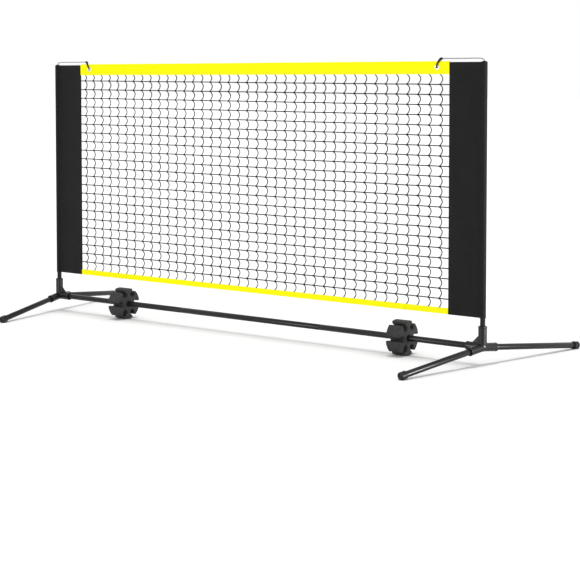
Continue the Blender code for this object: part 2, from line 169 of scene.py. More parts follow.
# Injection-moulded plastic out of a spark-eroded tool: an even fine grain, slightly mottled, no metal glint.
def mouldedPlastic(name, look):
    material, tree, shader = newMaterial(
        name, {"Metallic": 0.0, "IOR": 1.49, "Specular IOR Level": look.get("specular", 0.5)}
    )
    place = addNode(tree, "ShaderNodeTexCoord")
    grain = addNode(
        tree,
        "ShaderNodeTexVoronoi",
        {"feature": "SMOOTH_F1"},
        {"Scale": 1 / look["grainSize"]},
        {"Vector": place.outputs["Object"]}
    )
    fine = addNode(
        tree,
        "ShaderNodeTexNoise",
        values={"Scale": 1.6 / look["grainSize"], "Detail": 3.0},
        links={"Vector": place.outputs["Object"]}
    )
    mottle = addNode(
        tree,
        "ShaderNodeTexNoise",
        values={"Scale": 1 / look["mottleSize"], "Detail": 5.0, "Roughness": 0.6},
        links={"Vector": place.outputs["Object"]}
    )
    tree.links.new(
        colourRamp(tree, mottle.outputs["Fac"], look["dark"], look["light"]), shader.inputs["Base Color"]
    )
    tree.links.new(
        spanRange(tree, fine.outputs["Fac"], look["roughness"] - 0.08, look["roughness"] + 0.08),
        shader.inputs["Roughness"]
    )
    height = addNode(
        tree,
        "ShaderNodeMath",
        {"operation": "MULTIPLY_ADD"},
        {1: 0.6},
        {0: grain.outputs["Distance"], 2: fine.outputs["Fac"]}
    )
    bump = addNode(
        tree,
        "ShaderNodeBump",
        values={"Strength": look["grainStrength"], "Distance": look.get("grainDepth", 0.0004)},
        links={"Height": height.outputs[0]}
    )
    tree.links.new(bump.outputs["Normal"], shader.inputs["Normal"])
    return material


# Woven cloth on its own clothUv map, whose unit is a metre: warp and weft ribs that pass over and under.
def wovenCloth(name, look):
    values = {
        "Metallic": 0.0,
        "Sheen Weight": look["sheen"],
        "Sheen Roughness": 0.4,
        "Specular IOR Level": look["specular"],
        "Coat Weight": look.get("coat", 0.0),
        "Coat Roughness": 0.35
    }
    material, tree, shader = newMaterial(name, values)
    place = addNode(tree, "ShaderNodeUVMap", {"uv_map": "clothUv"})
    perMetre = 1 / look["threadSize"]
    scaled = addNode(
        tree,
        "ShaderNodeMapping",
        values={"Scale": (perMetre, perMetre, perMetre)},
        links={"Vector": place.outputs["UV"]}
    )
    warp = addNode(
        tree,
        "ShaderNodeTexWave",
        {"bands_direction": "X", "wave_profile": "SIN"},
        {"Scale": bandPerUnit, "Distortion": 0.6, "Detail": 1.0, "Detail Scale": 0.4},
        {"Vector": scaled.outputs["Vector"]}
    )
    weft = addNode(
        tree,
        "ShaderNodeTexWave",
        {"bands_direction": "Y", "wave_profile": "SIN"},
        {"Scale": bandPerUnit, "Distortion": 0.6, "Detail": 1.0, "Detail Scale": 0.4},
        {"Vector": scaled.outputs["Vector"]}
    )
    over = addNode(
        tree,
        "ShaderNodeTexChecker",
        values={"Scale": 1.0, "Color1": (1, 1, 1, 1), "Color2": (0, 0, 0, 1)},
        links={"Vector": scaled.outputs["Vector"]}
    )
    weave = addNode(
        tree,
        "ShaderNodeMix",
        {"data_type": "FLOAT"},
        links={0: over.outputs["Fac"], 2: warp.outputs["Fac"], 3: weft.outputs["Fac"]}
    )
    cloud = addNode(
        tree,
        "ShaderNodeTexNoise",
        values={"Scale": 1 / look["cloudSize"], "Detail": 5.0},
        links={"Vector": place.outputs["UV"]}
    )
    mixed = addNode(
        tree,
        "ShaderNodeMath",
        {"operation": "MULTIPLY_ADD"},
        {1: 0.45},
        {0: weave.outputs[0], 2: cloud.outputs["Fac"]}
    )
    tree.links.new(
        colourRamp(tree, mixed.outputs[0], look["dark"], look["light"], (0.4, 0.95)),
        shader.inputs["Base Color"]
    )
    tree.links.new(
        spanRange(tree, weave.outputs[0], look["roughness"] + 0.05, look["roughness"] - 0.05),
        shader.inputs["Roughness"]
    )
    bump = addNode(
        tree,
        "ShaderNodeBump",
        values={"Strength": look["bump"], "Distance": 0.0004},
        links={"Height": weave.outputs[0]}
    )
    tree.links.new(bump.outputs["Normal"], shader.inputs["Normal"])
    return material


# Laid or braided yarn: slanting ridges along the strand, in the strand's own colour with a little fuzz.
def twistedYarn(name, look):
    material, tree, shader = newMaterial(
        name,
        {"Metallic": 0.0, "Sheen Weight": look["sheen"], "Specular IOR Level": look.get("specular", 0.35)}
    )
    place = addNode(tree, "ShaderNodeTexCoord")
    lay = addNode(
        tree,
        "ShaderNodeTexWave",
        {"bands_direction": "DIAGONAL", "wave_profile": "SIN"},
        {"Scale": bandPerUnit / look["laySize"], "Distortion": 1.2, "Detail": 2.0},
        {"Vector": place.outputs["Object"]}
    )
    fuzz = addNode(
        tree,
        "ShaderNodeTexNoise",
        values={"Scale": 1 / look["fuzzSize"], "Detail": 4.0},
        links={"Vector": place.outputs["Object"]}
    )
    mixed = addNode(
        tree,
        "ShaderNodeMath",
        {"operation": "MULTIPLY_ADD"},
        {1: 0.6},
        {0: lay.outputs["Fac"], 2: fuzz.outputs["Fac"]}
    )
    tree.links.new(
        colourRamp(tree, mixed.outputs[0], look["dark"], look["light"], (0.4, 1.0)),
        shader.inputs["Base Color"]
    )
    tree.links.new(
        spanRange(tree, fuzz.outputs["Fac"], look["roughness"] - 0.08, look["roughness"] + 0.08),
        shader.inputs["Roughness"]
    )
    bump = addNode(
        tree,
        "ShaderNodeBump",
        values={"Strength": 0.5, "Distance": 0.0003},
        links={"Height": mixed.outputs[0]}
    )
    tree.links.new(bump.outputs["Normal"], shader.inputs["Normal"])
    return material


# Nickel-plated pressed brass: bright, with drawn rings and small handling marks.
def nickelPlate(look):
    material, tree, shader = newMaterial("nickelPlatedBrass", {"Metallic": 1.0})
    place = addNode(tree, "ShaderNodeTexCoord")
    marks = addNode(
        tree,
        "ShaderNodeTexNoise",
        values={"Scale": 1 / look["markSize"], "Detail": 6.0, "Roughness": 0.75},
        links={"Vector": place.outputs["Object"]}
    )
    tarnish = addNode(
        tree,
        "ShaderNodeTexNoise",
        values={"Scale": 1 / look["tarnishSize"], "Detail": 3.0},
        links={"Vector": place.outputs["Object"]}
    )
    tree.links.new(
        colourRamp(tree, tarnish.outputs["Fac"], look["dark"], look["light"]), shader.inputs["Base Color"]
    )
    tree.links.new(spanRange(tree, marks.outputs["Fac"], 0.16, 0.34), shader.inputs["Roughness"])
    bump = addNode(
        tree,
        "ShaderNodeBump",
        values={"Strength": 0.15, "Distance": 0.0001},
        links={"Height": marks.outputs["Fac"]}
    )
    tree.links.new(bump.outputs["Normal"], shader.inputs["Normal"])
    return material


finishes = {
    "steel": powderCoatedSteel(
        {
            "dark": "0E0F10",
            "light": "141517",
            "rubbed": "27282B",
            "roughness": 0.30,
            "peelSize": 0.0016,
            "gritSize": 0.0009,
            "cloudSize": 0.03,
            "rubSize": 1 / 60
        }
    ),
    "hub": mouldedPlastic(
        "mouldedNylonSatin",
        {
            "dark": "101010",
            "light": "171718",
            "roughness": 0.30,
            "grainSize": 0.0012,
            "mottleSize": 0.012,
            "grainStrength": 0.07,
            "specular": 0.3
        }
    ),
    "cap": mouldedPlastic(
        "mouldedPolyethyleneMatt",
        {
            "dark": "090909",
            "light": "0F0F10",
            "roughness": 0.36,
            "grainSize": 0.0010,
            "mottleSize": 0.009,
            "grainStrength": 0.1,
            "specular": 0.28
        }
    ),
    # a coarser grain than the 0.4 mm of the tool, so that it shows
    "wheel": mouldedPlastic(
        "mouldedPolypropyleneGrained",
        {
            "dark": "2D2D2D",
            "light": "393939",
            "roughness": 0.66,
            "grainSize": 0.0018,
            "mottleSize": 0.010,
            "grainStrength": 0.9,
            "grainDepth": 0.0014,
            "specular": 0.22
        }
    ),
    "hook": mouldedPlastic(
        "mouldedAcetal",
        {
            "dark": "060607",
            "light": "0C0C0D",
            "roughness": 0.34,
            "grainSize": 0.0008,
            "mottleSize": 0.006,
            "grainStrength": 0.08,
            "specular": 0.3
        }
    ),
    # 0.5 mm threads, drawn at 1.6 mm so that they show
    "sleeve": wovenCloth(
        "blackOxfordPolyester",
        {
            "dark": "131314",
            "light": "1A1A1B",
            "roughness": 0.55,
            "threadSize": 0.0016,
            "cloudSize": 0.05,
            "sheen": 0.0,
            "specular": 0.10,
            "bump": 0.5
        }
    ),
    "tape": wovenCloth(
        "yellowVinylCoatedCanvas",
        {
            "dark": "FFF400",
            "light": "FFFC08",
            "roughness": 0.5,
            "threadSize": 0.0018,
            "cloudSize": 0.08,
            "sheen": 0.0,
            "specular": 0.05,
            "bump": 0.22
        }
    ),
    "twine": twistedYarn(
        "blackPolyethyleneTwine",
        {
            "dark": "08080A",
            "light": "141417",
            "roughness": 0.6,
            "laySize": 0.0022,
            "fuzzSize": 0.0012,
            "sheen": 0.0,
            "specular": 0.12
        }
    ),
    "cord": twistedYarn(
        "greyBraidedPolyester",
        {
            "dark": "5A5A5D",
            "light": "8C8C90",
            "roughness": 0.62,
            "laySize": 0.0018,
            "fuzzSize": 0.0010,
            "sheen": 0.15
        }
    ),
    "blackThread": twistedYarn(
        "blackBondedThread",
        {
            "dark": "101011",
            "light": "1C1C1E",
            "roughness": 0.55,
            "laySize": 0.0012,
            "fuzzSize": 0.0008,
            "sheen": 0.1
        }
    ),
    "yellowThread": twistedYarn(
        "yellowBondedThread",
        {
            "dark": "E2D200",
            "light": "FFF436",
            "roughness": 0.5,
            "laySize": 0.0012,
            "fuzzSize": 0.0008,
            "sheen": 0.1
        }
    ),
    "ring": nickelPlate({"dark": "C4C4C2", "light": "E2E2DF", "markSize": 0.0012, "tarnishSize": 0.004}),
}
print("materials made")


# ---- shared tools: pieces are drawn with the net plane at y = 0 and moved to its place as they are kept
def keepPiece(name, bm, finish, body, replaced=(), sharpAngle=32):
    bmesh.ops.translate(bm, verts=bm.verts, vec=(0, layout["netPlace"], 0))
    for face in bm.faces:
        face.smooth = True
    for edge in bm.edges:
        if len(edge.link_faces) == 2 and edge.calc_face_angle(0) > math.radians(sharpAngle):
            edge.smooth = False
    mesh = bpy.data.meshes.new(name)
    bm.to_mesh(mesh)
    bm.free()
    mesh.materials.append(finishes[finish])
    piece = bpy.data.objects.new(name, mesh)
    bpy.context.scene.collection.objects.link(piece)
    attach(piece, body)
    if replaced:
        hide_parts(*replaced)
    return piece


def axisPlace(origin, direction):
    turn = Vector((0, 0, 1)).rotation_difference(Vector(direction).normalized())
    return Matrix.Translation(Vector(origin)) @ turn.to_matrix().to_4x4()


def spunBody(profile, origin, direction, steps=64):
    # profile is (distance along, radius) and closes on itself, so it makes a ring, a tube or a plug
    bm = bmesh.new()
    verts = [bm.verts.new((radius, 0, along)) for along, radius in profile]
    edges = [bm.edges.new(pair) for pair in zip(verts, verts[1:] + verts[:1])]
    bmesh.ops.spin(
        bm,
        geom=verts + edges,
        cent=(0, 0, 0),
        axis=(0, 0, 1),
        angle=2 * math.pi,
        steps=steps,
        use_merge=True
    )
    bmesh.ops.remove_doubles(bm, verts=bm.verts, dist=1e-6)
    bmesh.ops.transform(bm, matrix=axisPlace(origin, direction), verts=bm.verts)
    bmesh.ops.recalc_face_normals(bm, faces=bm.faces)
    return bm


def tubeProfile(start, end, outer, inner, rim):
    outside = [
        (start + rim, outer), (end - rim, outer), (end - rim * 0.3, outer - rim * 0.3), (end, outer - rim)
    ]
    return outside + [
        (end, inner), (start, inner), (start, outer - rim), (start + rim * 0.3, outer - rim * 0.3)
    ]


def evaluatedCopy(bm, modifiers):
    # runs modifiers on a bmesh and hands back the result as a new bmesh
    mesh = bpy.data.meshes.new("work")
    bm.to_mesh(mesh)
    bm.free()
    work = bpy.data.objects.new("work", mesh)
    bpy.context.scene.collection.objects.link(work)
    for kind, settings in modifiers:
        modifier = work.modifiers.new("step", kind)
        for key, value in settings.items():
            setattr(modifier, key, value)
    bpy.context.view_layer.update()
    result = work.evaluated_get(bpy.context.evaluated_depsgraph_get()).to_mesh()
    out = bmesh.new()
    out.from_mesh(result)
    bpy.data.objects.remove(work)
    bpy.data.meshes.remove(mesh)
    return out


def withoutShape(bm, cutter):
    data = bpy.data.meshes.new("cutter")
    cutter.to_mesh(data)
    cutter.free()
    tool = bpy.data.objects.new("cutter", data)
    bpy.context.scene.collection.objects.link(tool)
    out = evaluatedCopy(bm, [("BOOLEAN", {"operation": "DIFFERENCE", "solver": "EXACT", "object": tool})])
    bpy.data.objects.remove(tool)
    return out


def mouldedCopy(nodeName, voxel, rounds, dimple=None):
    # the CAD node's own shape, remeshed and eased, so that its edges are as round as a moulding's
    bm = bmesh.new()
    bm.from_mesh(cadNodes[nodeName].data)
    bmesh.ops.translate(bm, verts=bm.verts, vec=(0, -layout["netPlace"], 0))
    bmesh.ops.remove_doubles(bm, verts=bm.verts, dist=1e-6)
    if dimple:
        bm = withoutShape(bm, dimple)
    out = evaluatedCopy(
        bm, [("REMESH", {"mode": "VOXEL", "voxel_size": voxel, "use_smooth_shade": True})]
    )
    for _ in range(rounds):
        bmesh.ops.smooth_vert(
            out, verts=out.verts, factor=0.5, use_axis_x=True, use_axis_y=True, use_axis_z=True
        )
    return out


def hubCentre(side):
    return Vector((side * layout["halfSpan"], 0, layout["barHeight"]))


def legTip(side, fore):
    reach = layout["legReach"][fore]
    across = side * (layout["halfSpan"] + fore * reach * math.tan(layout["legToe"]))
    return Vector((across, fore * reach, layout["legTipHeight"]))


# ---- camera, light and floor
cameraLook = {
    "spot": (3.2860, -4.0313, 0.8582), "yaw": 37.967, "pitch": 3.052, "lens": 95.44, "shiftY": -0.22
}
yaw, pitch = math.radians(cameraLook["yaw"]), math.radians(cameraLook["pitch"])
camera = bpy.data.objects.new("camera", bpy.data.cameras.new("camera"))
bpy.context.scene.collection.objects.link(camera)
camera.data.sensor_width = 36
camera.data.lens = cameraLook["lens"]
camera.data.shift_y = cameraLook["shiftY"]
camera.data.clip_end = 100
camera.location = cameraLook["spot"]
ahead = Vector((-math.sin(yaw) * math.cos(pitch), math.cos(yaw) * math.cos(pitch), -math.sin(pitch)))
camera.rotation_euler = ahead.to_track_quat("-Z", "Y").to_euler()
bpy.context.scene.camera = camera

lightLook = {"sky": 1.0, "sun": 1.6, "sunSize": 9, "front": 45, "rim": 150, "floor": "E3E3E3"}
world = bpy.data.worlds.new("studio")
bpy.context.scene.world = world
world.use_nodes = True
world.node_tree.nodes["Background"].inputs["Color"].default_value = (1, 1, 1, 1)
world.node_tree.nodes["Background"].inputs["Strength"].default_value = lightLook["sky"]


def addLight(name, kind, spot, aim, energy, size):
    data = bpy.data.lights.new(name, kind)
    data.energy = energy
    if kind == "SUN":
        data.angle = math.radians(size)
    else:
        data.shape = "RECTANGLE"
        data.size, data.size_y = size
    light = bpy.data.objects.new(name, data)
    light.location = spot
    light.rotation_euler = (Vector(aim) - Vector(spot)).to_track_quat("-Z", "Y").to_euler()
    bpy.context.scene.collection.objects.link(light)
    return light


# the two boxes only add a glint to the pieces, and the floor keeps the overhead light's shadows
addLight("overhead", "SUN", (0.15, 0.1, 4), (0, 0, 0), lightLook["sun"], lightLook["sunSize"])
addLight(
    "frontBox", "AREA", (-0.9, -3.4, 0.36), (-0.9, 0, 0.2), lightLook["front"], (0.8, 0.7)
).visible_diffuse = False
addLight(
    "rimBox", "AREA", (3.49, 0.31, 0.36), (0.9, 0, 0.2), lightLook["rim"], (0.8, 0.7)
).visible_diffuse = False

floorMesh = bmesh.new()
bmesh.ops.create_grid(floorMesh, x_segments=2, y_segments=2, size=60)
floorData = bpy.data.meshes.new("floor")
floorMesh.to_mesh(floorData)
floorMesh.free()
floor = bpy.data.objects.new("floor", floorData)
bpy.context.scene.collection.objects.link(floor)
floorPaint, floorTree, floorShader = newMaterial(
    "mattPaperSweep", {"Roughness": 0.9, "Specular IOR Level": 0.1}
)
floorShader.inputs["Base Color"].default_value = linearColour(lightLook["floor"])
floor.data.materials.append(floorPaint)
bpy.context.scene.view_settings.view_transform = "Standard"
print("camera, light and floor set")

# ---- steel tubes: drawn smooth, with a small deburred rim
tubeLook = {
    "barRadius": 0.0095,
    "postRadius": 0.0080,
    "wall": 0.0012,
    "rim": 0.0004,
    "socketFloor": 0.017,
    "capWall": 0.0037,
    "postFoot": 0.0700,
    "postTop": 0.9060,
    "barJoint": 0.305,
    "postJoint": 0.485,
    "jointGap": 0.00015
}
barEnd = layout["halfSpan"] - tubeLook["socketFloor"]
barBreak = (tubeLook["barJoint"] - tubeLook["jointGap"], tubeLook["barJoint"] + tubeLook["jointGap"])
postBreak = (tubeLook["postJoint"] - tubeLook["jointGap"], tubeLook["postJoint"] + tubeLook["jointGap"])
bars = (
    ("crossbarLeft", "crossbar_left", -barEnd, -barBreak[1]),
    ("crossbarMiddle", "crossbar_middle", -barBreak[0], barBreak[0]),
    ("crossbarRight", "crossbar_right", barBreak[1], barEnd)
)
posts = (("lower", tubeLook["postFoot"], postBreak[0]), ("upper", postBreak[1], tubeLook["postTop"]))
for pieceName, nodeName, start, end in bars:
    profile = tubeProfile(
        start, end, tubeLook["barRadius"], tubeLook["barRadius"] - tubeLook["wall"], tubeLook["rim"]
    )
    bm = spunBody(profile, (0, 0, layout["barHeight"]), (1, 0, 0))
    keepPiece(pieceName, bm, "steel", "base", [nodeName])
for side, word in sides:
    for fore, foreWord in ((-1, "front"), (1, "rear")):
        run = legTip(side, fore) - hubCentre(side)
        profile = tubeProfile(
            tubeLook["socketFloor"],
            run.length - tubeLook["capWall"],
            tubeLook["barRadius"],
            tubeLook["barRadius"] - tubeLook["wall"],
            tubeLook["rim"]
        )
        bm = spunBody(profile, hubCentre(side), run)
        legName = "leg_" + foreWord + "_" + word
        keepPiece("tube_" + legName, bm, "steel", legName, [legName])
    for part, start, end in posts:
        profile = tubeProfile(
            start, end, tubeLook["postRadius"], tubeLook["postRadius"] - tubeLook["wall"], tubeLook["rim"]
        )
        bm = spunBody(profile, (side * layout["halfSpan"], 0, 0), (0, 0, 1))
        keepPiece(
            "post_" + part + "_tube_" + word,
            bm,
            "steel",
            "net_frame",
            ["post_" + part + "_" + word]
        )
    for nodeName in ("crossbar_ferrule_" + word, "post_ferrule_" + word):
        cadNodes[nodeName].data.materials.clear()
        cadNodes[nodeName].data.materials.append(finishes["steel"])
print("tubes made")

# ---- moulded pieces
mouldLook = {
    "hub": {"voxel": 0.0008, "rounds": 4, "finish": "hub", "slot": "moulded_plastic"},
    "wheel": {"voxel": 0.0010, "rounds": 6, "finish": "wheel", "slot": "wheel_plastic"},
    "legCap": {
        "voxel": 0.0006,
        "rounds": 2,
        "dimpleRadius": 0.0066,
        "dimpleDepth": 0.0022,
        "dimplePast": 0.004,
        "finish": "cap",
        "slot": "cap_plastic"
    },
    "postCap": {"voxel": 0.0005, "rounds": 3, "finish": "cap", "slot": "cap_plastic"},
}


def mouldedPiece(pieceName, kind, nodeName, body, dimple=None):
    look = mouldLook[kind]
    bm = mouldedCopy(nodeName, look["voxel"], look["rounds"], dimple)
    return keepPiece(pieceName, bm, look["finish"], body, [nodeName], sharpAngle=60)


def dimpleCutter(side, fore):
    # a plug along the leg's axis that hollows the end of its foot cap and reaches past it
    look = mouldLook["legCap"]
    radius, depth, past = look["dimpleRadius"], look["dimpleDepth"], look["dimplePast"]
    profile = [(-depth, radius), (past, radius), (past, 0), (-depth, 0)]
    return spunBody(profile, legTip(side, fore), legTip(side, fore) - hubCentre(side), 32)


for side, word in sides:
    mouldedPiece("cornerHub_" + word, "hub", "hub_" + word, "base")
    mouldedPiece("lobedWheel_" + word, "wheel", "support_wheel_" + word, "wheel_" + word)
    mouldedPiece("postPlug_" + word, "postCap", "post_cap_" + word, "net_frame")
    for fore, foreWord in ((-1, "front"), (1, "rear")):
        legWord = foreWord + "_" + word
        mouldedPiece(
            "footCap_" + legWord,
            "legCap",
            "leg_cap_" + legWord,
            "leg_" + legWord,
            dimpleCutter(side, fore)
        )
print("moulded pieces made")


# ---- cloth: a folded strip is one polyline drawn out along an axis, then given its thickness
def foldedCloth(section, step, rows, alongIndex, shape, thickness):
    bm = bmesh.new()
    acrossLayer = bm.verts.layers.float.new("across")
    verts = []
    run = 0.0
    for k, point in enumerate(section):
        run += (Vector(point) - Vector(section[k - 1])).length if k else 0.0
        vert = bm.verts.new(point)
        vert[acrossLayer] = run
        verts.append(vert)
    edges = [bm.edges.new(pair) for pair in zip(verts, verts[1:])]
    for _ in range(rows):
        grown = bmesh.ops.extrude_edge_only(bm, edges=edges)["geom"]
        fresh = [item for item in grown if isinstance(item, bmesh.types.BMVert)]
        freshSet = set(fresh)
        edges = [
            item for item in grown if isinstance(item, bmesh.types.BMEdge) and freshSet.issuperset(item.verts)
        ]
        bmesh.ops.translate(bm, verts=fresh, vec=step)
    clothUv = bm.loops.layers.uv.new("clothUv")
    for face in bm.faces:
        for loop in face.loops:
            loop[clothUv].uv = (loop.vert[acrossLayer], loop.vert.co[alongIndex])
    for vert in bm.verts:
        vert.co += shape(vert.co)
    bmesh.ops.recalc_face_normals(bm, faces=bm.faces)
    return evaluatedCopy(
        bm, [("SOLIDIFY", {"thickness": thickness, "offset": 0.0, "use_even_offset": True})]
    )


def stampShape(bm, template, matrices):
    # copies of one small shape, added vertex by vertex because a primitive call slows down as the mesh grows
    spots = [vert.co.copy() for vert in template.verts]
    loops = [[vert.index for vert in face.verts] for face in template.faces]
    for matrix in matrices:
        fresh = [bm.verts.new(matrix @ spot) for spot in spots]
        for loop in loops:
            bm.faces.new([fresh[k] for k in loop])


def smallBall(uSegments, vSegments):
    ball = bmesh.new()
    bmesh.ops.create_uvsphere(ball, u_segments=uSegments, v_segments=vSegments, radius=1)
    ball.verts.index_update()
    return ball


stitchBall, knotBall = smallBall(6, 4), smallBall(6, 5)


def stitchRow(bm, start, end, out, look):
    # a line of short thread bumps, each sunk a little into the cloth
    run = Vector(end) - Vector(start)
    count = int(run.length / look["pitch"])
    turn = Vector((1, 0, 0)).rotation_difference(run.normalized()).to_matrix().to_4x4()
    size = Matrix.Diagonal((look["length"] / 2, look["width"] / 2, look["width"] / 2, 1))
    spots = [Vector(start) + run * (k + 0.5) / count + Vector(out) for k in range(count)]
    stampShape(bm, stitchBall, [Matrix.Translation(spot) @ turn @ size for spot in spots])


sleeveLook = {
    "wrap": 0.0093,
    "ply": 0.00135,
    "thickness": 0.0009,
    "rows": 96,
    "seam": 0.0138,
    "hem": 0.012,
    "sway": 0.0011,
    "pucker": 0.0005,
    "calm": 0.03,
    "hemSwell": 0.00035,
    "seamPull": 0.0004
}
threadLook = {"pitch": 0.0052, "length": 0.0038, "width": 0.0009}


def sleeveSection(side):
    inner, ply, wrap = layout["sleeveInner"], sleeveLook["ply"], sleeveLook["wrap"]
    flat = [(inner - (inner - 0.0175) * k / 36, -ply) for k in range(37)]
    wrapped = [(0.0148, -ply * 1.02), (0.0126, -0.0016), (0.0108, -0.0023)]
    for k in range(33):
        angle = math.radians(-20 - 320 * k / 32)
        wrapped.append((wrap * math.cos(angle), wrap * math.sin(angle)))
    wrapped += [(u, -v) for u, v in reversed(wrapped[:3])]
    back = [(u, -v) for u, v in reversed(flat)]
    return [
        (side * (layout["halfSpan"] - u), v, layout["sleeveBottom"]) for u, v in flat + wrapped + back
    ]


def sleeveShape(side):
    def shape(point):
        reach = layout["halfSpan"] - side * point.x
        nearPost = min(1.0, max(0.0, (reach - 0.016) / sleeveLook["calm"]))
        nearNet = min(1.0, max(0.0, (layout["sleeveInner"] - reach) / sleeveLook["calm"]))
        inside = nearPost * nearNet
        sway = sleeveLook["sway"] * noise.noise(Vector((reach * 16, point.z * 4.5, side * 3.1)))
        pucker = sleeveLook["pucker"] * noise.noise(
            Vector((reach * 40, point.z * 38, point.y * 900 + side))
        )
        top, low = layout["sleeveTop"] - point.z, point.z - layout["sleeveBottom"]
        face = 1 if point.y > 0 else -1
        hem = sleeveLook["hemSwell"] if min(top, low) < sleeveLook["hem"] else 0.0
        edge = sleeveLook["seamPull"] * max(0.0, 1 - abs(reach - sleeveLook["seam"]) / 0.003)
        swell = abs(pucker) * inside + hem * min(1.0, max(0.0, reach / 0.02)) - edge
        return Vector((0, sway * inside + face * swell, 0))
    return shape


for side, word in sides:
    height = layout["sleeveTop"] - layout["sleeveBottom"]
    bm = foldedCloth(
        sleeveSection(side),
        (0, 0, height / sleeveLook["rows"]),
        sleeveLook["rows"],
        2,
        sleeveShape(side),
        sleeveLook["thickness"]
    )
    sleeve = keepPiece(
        "sleeveCloth_" + word,
        bm,
        "sleeve",
        "net_frame",
        ["sleeve_" + word],
        sharpAngle=50
    )
    thread = bmesh.new()
    proud = sleeveLook["ply"] + sleeveLook["thickness"] / 2
    low, top = layout["sleeveBottom"] + 0.004, layout["sleeveTop"] - 0.004
    for face in (-1, 1):
        for reach in (sleeveLook["seam"], layout["sleeveInner"] - 0.005, layout["sleeveInner"] - 0.010):
            x = side * (layout["halfSpan"] - reach)
            stitchRow(thread, (x, 0, low), (x, 0, top), (0, face * (proud + 0.0001), 0), threadLook)
        for z in (
            layout["sleeveBottom"] + sleeveLook["hem"] - 0.002,
            layout["sleeveTop"] - sleeveLook["hem"] + 0.002
        ):
            ends = [
                side * (layout["halfSpan"] - reach) for reach in (0.017, layout["sleeveInner"] - 0.003)
            ]
            stitchRow(
                thread, (ends[0], 0, z), (ends[1], 0, z), (0, face * (proud + 0.0005), 0), threadLook
            )
    seams = keepPiece("sleeveStitching_" + word, thread, "blackThread", "net_frame")
    girth = sum(
        (Vector(a) - Vector(b)).length for a, b in zip(sleeveSection(side), sleeveSection(side)[1:])
    )
print("sleeves made")

tapeLook = {
    "ply": 0.0014,
    "thickness": 0.0008,
    "columns": 180,
    "ripple": 0.0004,
    "gap": 0.0003,
    "trim": 0.0004,
    "punch": 0.0052
}
tapeHalf = layout["halfSpan"] - layout["sleeveInner"] - tapeLook["gap"]


def tapeSection(low, top, foldUp):
    ply = tapeLook["ply"]
    start, way = (low, 1) if foldUp else (top, -1)
    rise = [start + way * (top - low - ply) * k / 10 for k in range(11)]
    points = [(-tapeHalf, -ply, z) for z in rise]
    for k in range(1, 6):
        angle = math.pi * k / 6
        points.append((-tapeHalf, -ply * math.cos(angle), rise[-1] + way * ply * math.sin(angle)))
    return points + [(-tapeHalf, ply, z) for z in reversed(rise)]


def tapeShape(seed):
    def shape(point):
        calm = min(1.0, (tapeHalf - abs(point.x)) / 0.08)
        wave = tapeLook["ripple"] * noise.noise(Vector((point.x * 7, seed, 0.4)))
        lift = 0.0003 * noise.noise(Vector((point.x * 5, seed + 5, point.z * 3)))
        return Vector((0, wave * calm, lift * calm))
    return shape


tapeRows = [
    ("top", layout["topTapeBottom"], layout["topTapeTop"], True),
    ("bottom", layout["sleeveBottom"], layout["lowTapeTop"], False)
]
for word, low, top, foldUp in tapeRows:
    section = tapeSection(low + tapeLook["trim"], top - tapeLook["trim"], foldUp)
    step = (2 * tapeHalf / tapeLook["columns"], 0, 0)
    bm = foldedCloth(section, step, tapeLook["columns"], 0, tapeShape(len(word)), tapeLook["thickness"])
    if word == "top":
        punches = bmesh.new()
        for side in (-1, 1):
            spot = (side * (layout["halfSpan"] - layout["grommetInset"]), 0, layout["grommetHeight"])
            bmesh.ops.create_cone(
                punches,
                cap_ends=True,
                segments=32,
                radius1=tapeLook["punch"],
                radius2=tapeLook["punch"],
                depth=0.02,
                matrix=axisPlace(spot, (0, 1, 0))
            )
        bm = withoutShape(bm, punches)
    tape = keepPiece(
        "tapeCloth_" + word, bm, "tape", "net_frame", [word + "_tape"], sharpAngle=50
    )
    thread = bmesh.new()
    rows = (low + 0.004, low + 0.0075) if foldUp else (top - 0.004,)
    proud = tapeLook["ply"] + tapeLook["thickness"] / 2 + 0.0001
    for z in rows:
        for face in (-1, 1):
            stitchRow(
                thread,
                (-tapeHalf + 0.002, 0, z),
                (tapeHalf - 0.002, 0, z),
                (0, face * proud, 0),
                threadLook
            )
    seams = keepPiece("tapeStitching_" + word, thread, "yellowThread", "net_frame")
print("tapes made")

# ---- net: level twines run straight and upright ones bow sideways between knots
netLook = {
    "rows": 22,
    "columns": 39,
    "topGap": (0.64, 0.99),
    "lowGap": 0.89,
    "sideGap": 0.70,
    "nudge": -0.006,
    "bow": 0.0098,
    "radius": 0.0019,
    "steps": 8,
    "tuck": 0.006,
    "fullBow": 0.0315,
    "knot": (0.0035, 0.0025, 0.0028)
}
clearHeight = layout["topTapeBottom"] - layout["lowTapeTop"]
clearWidth = 2 * (layout["halfSpan"] - layout["sleeveInner"])
columnPitch = clearWidth / (netLook["columns"] - 1 + 2 * netLook["sideGap"])
columnPlaces = [
    netLook["nudge"] - clearWidth / 2 + columnPitch * (netLook["sideGap"] + k)
    for k in range(netLook["columns"])
]


def rowHeight(k, x):
    # the level twines drop a little from left to right
    left, right = netLook["topGap"]
    topGap = left + (right - left) * (x / clearWidth + 0.5)
    return layout["topTapeBottom"] - clearHeight * (topGap + k) / (
        netLook["rows"] - 1 + topGap + netLook["lowGap"]
    )


shuffle = random.Random(7)


